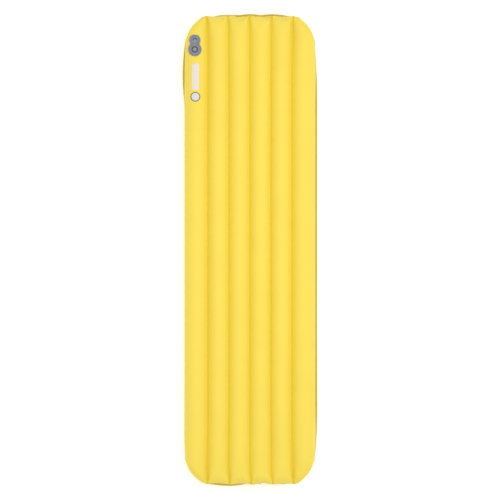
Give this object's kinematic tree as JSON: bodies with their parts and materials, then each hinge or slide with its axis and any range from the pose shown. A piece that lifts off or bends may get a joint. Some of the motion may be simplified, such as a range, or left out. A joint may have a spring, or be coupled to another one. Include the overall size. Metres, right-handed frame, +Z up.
{
  "type": "inflatable sleeping pad",
  "caption": "Rounded rectangular inflatable camping mattress with lengthwise tubes, a twin hinged-cap valve, a print panel and a round badge.",
  "frame": {"origin": "on the floor under the middle of the pad, at the bottom centre of its bounding box", "axes": "+Y points to the head end, where the valve is; +X is to the right seen from above with the head end up; +Z is up"},
  "size_m": [0.5172, 1.829, 0.0928],
  "materials": {
    "coated_fabric": "yellow ripstop with a soft sheen",
    "base_fabric": "matt yellow ripstop underside",
    "baffle_film": "matt coated fabric",
    "valve_grey": "matt flexible plastic",
    "cap_grey": "matt flexible plastic",
    "insert_grey": "hard satin plastic",
    "seal_black": "soft matt rubber",
    "poppet_white": "satin",
    "spring_steel": "drawn wire",
    "print_ink": "thin matt print",
    "badge_grey": "matt moulded rubber",
    "badge_pale": "matt moulded rubber"
  },
  "bodies": {
    "pad": {"top_sheet": "coated_fabric", "bottom_sheet": "base_fabric", "i_beam_1": "baffle_film", "i_beam_2": "baffle_film", "i_beam_3": "baffle_film", "i_beam_4": "baffle_film", "i_beam_5": "baffle_film", "valve_base": "valve_grey", "valve_saddle": "valve_grey", "valve_backing": "valve_grey", "deflation_seat": "insert_grey", "inflation_seat": "insert_grey", "tether_pad": "cap_grey", "tether_stud": "insert_grey", "poppet_spring": "spring_steel", "print_panel": "print_ink", "badge_rim": "badge_grey", "badge_face": "badge_pale"},
    "inflation_cap": {"inflation_cap": "cap_grey", "inflation_cap_seal": "seal_black", "inflation_strap": "cap_grey"},
    "deflation_cap": {"deflation_cap": "cap_grey", "deflation_cap_seal": "seal_black", "deflation_strap": "cap_grey"},
    "check_valve": {"check_poppet": "poppet_white", "poppet_gasket": "seal_black", "release_button": "insert_grey"}
  },
  "joints": [
    {"name": "inflation_cap_hinge", "type": "hinge", "parent": "pad", "child": "inflation_cap", "pos_m": [-0.21227, 0.79625, 0.09135], "axis": [1, 0, 0], "range_deg": [0, 95], "deforming": ["inflation_strap"]},
    {"name": "deflation_cap_hinge", "type": "hinge", "parent": "pad", "child": "deflation_cap", "pos_m": [-0.21227, 0.78875, 0.09135], "axis": [-1, 0, 0], "range_deg": [0, 95], "deforming": ["deflation_strap"]},
    {"name": "poppet_press", "type": "slide", "parent": "pad", "child": "check_valve", "axis": [0, 0, -1], "range_m": [0, 0.003], "stiffness_N_per_m": 300, "springref_m": -0.002, "deforming": ["poppet_spring"]}
  ]
}
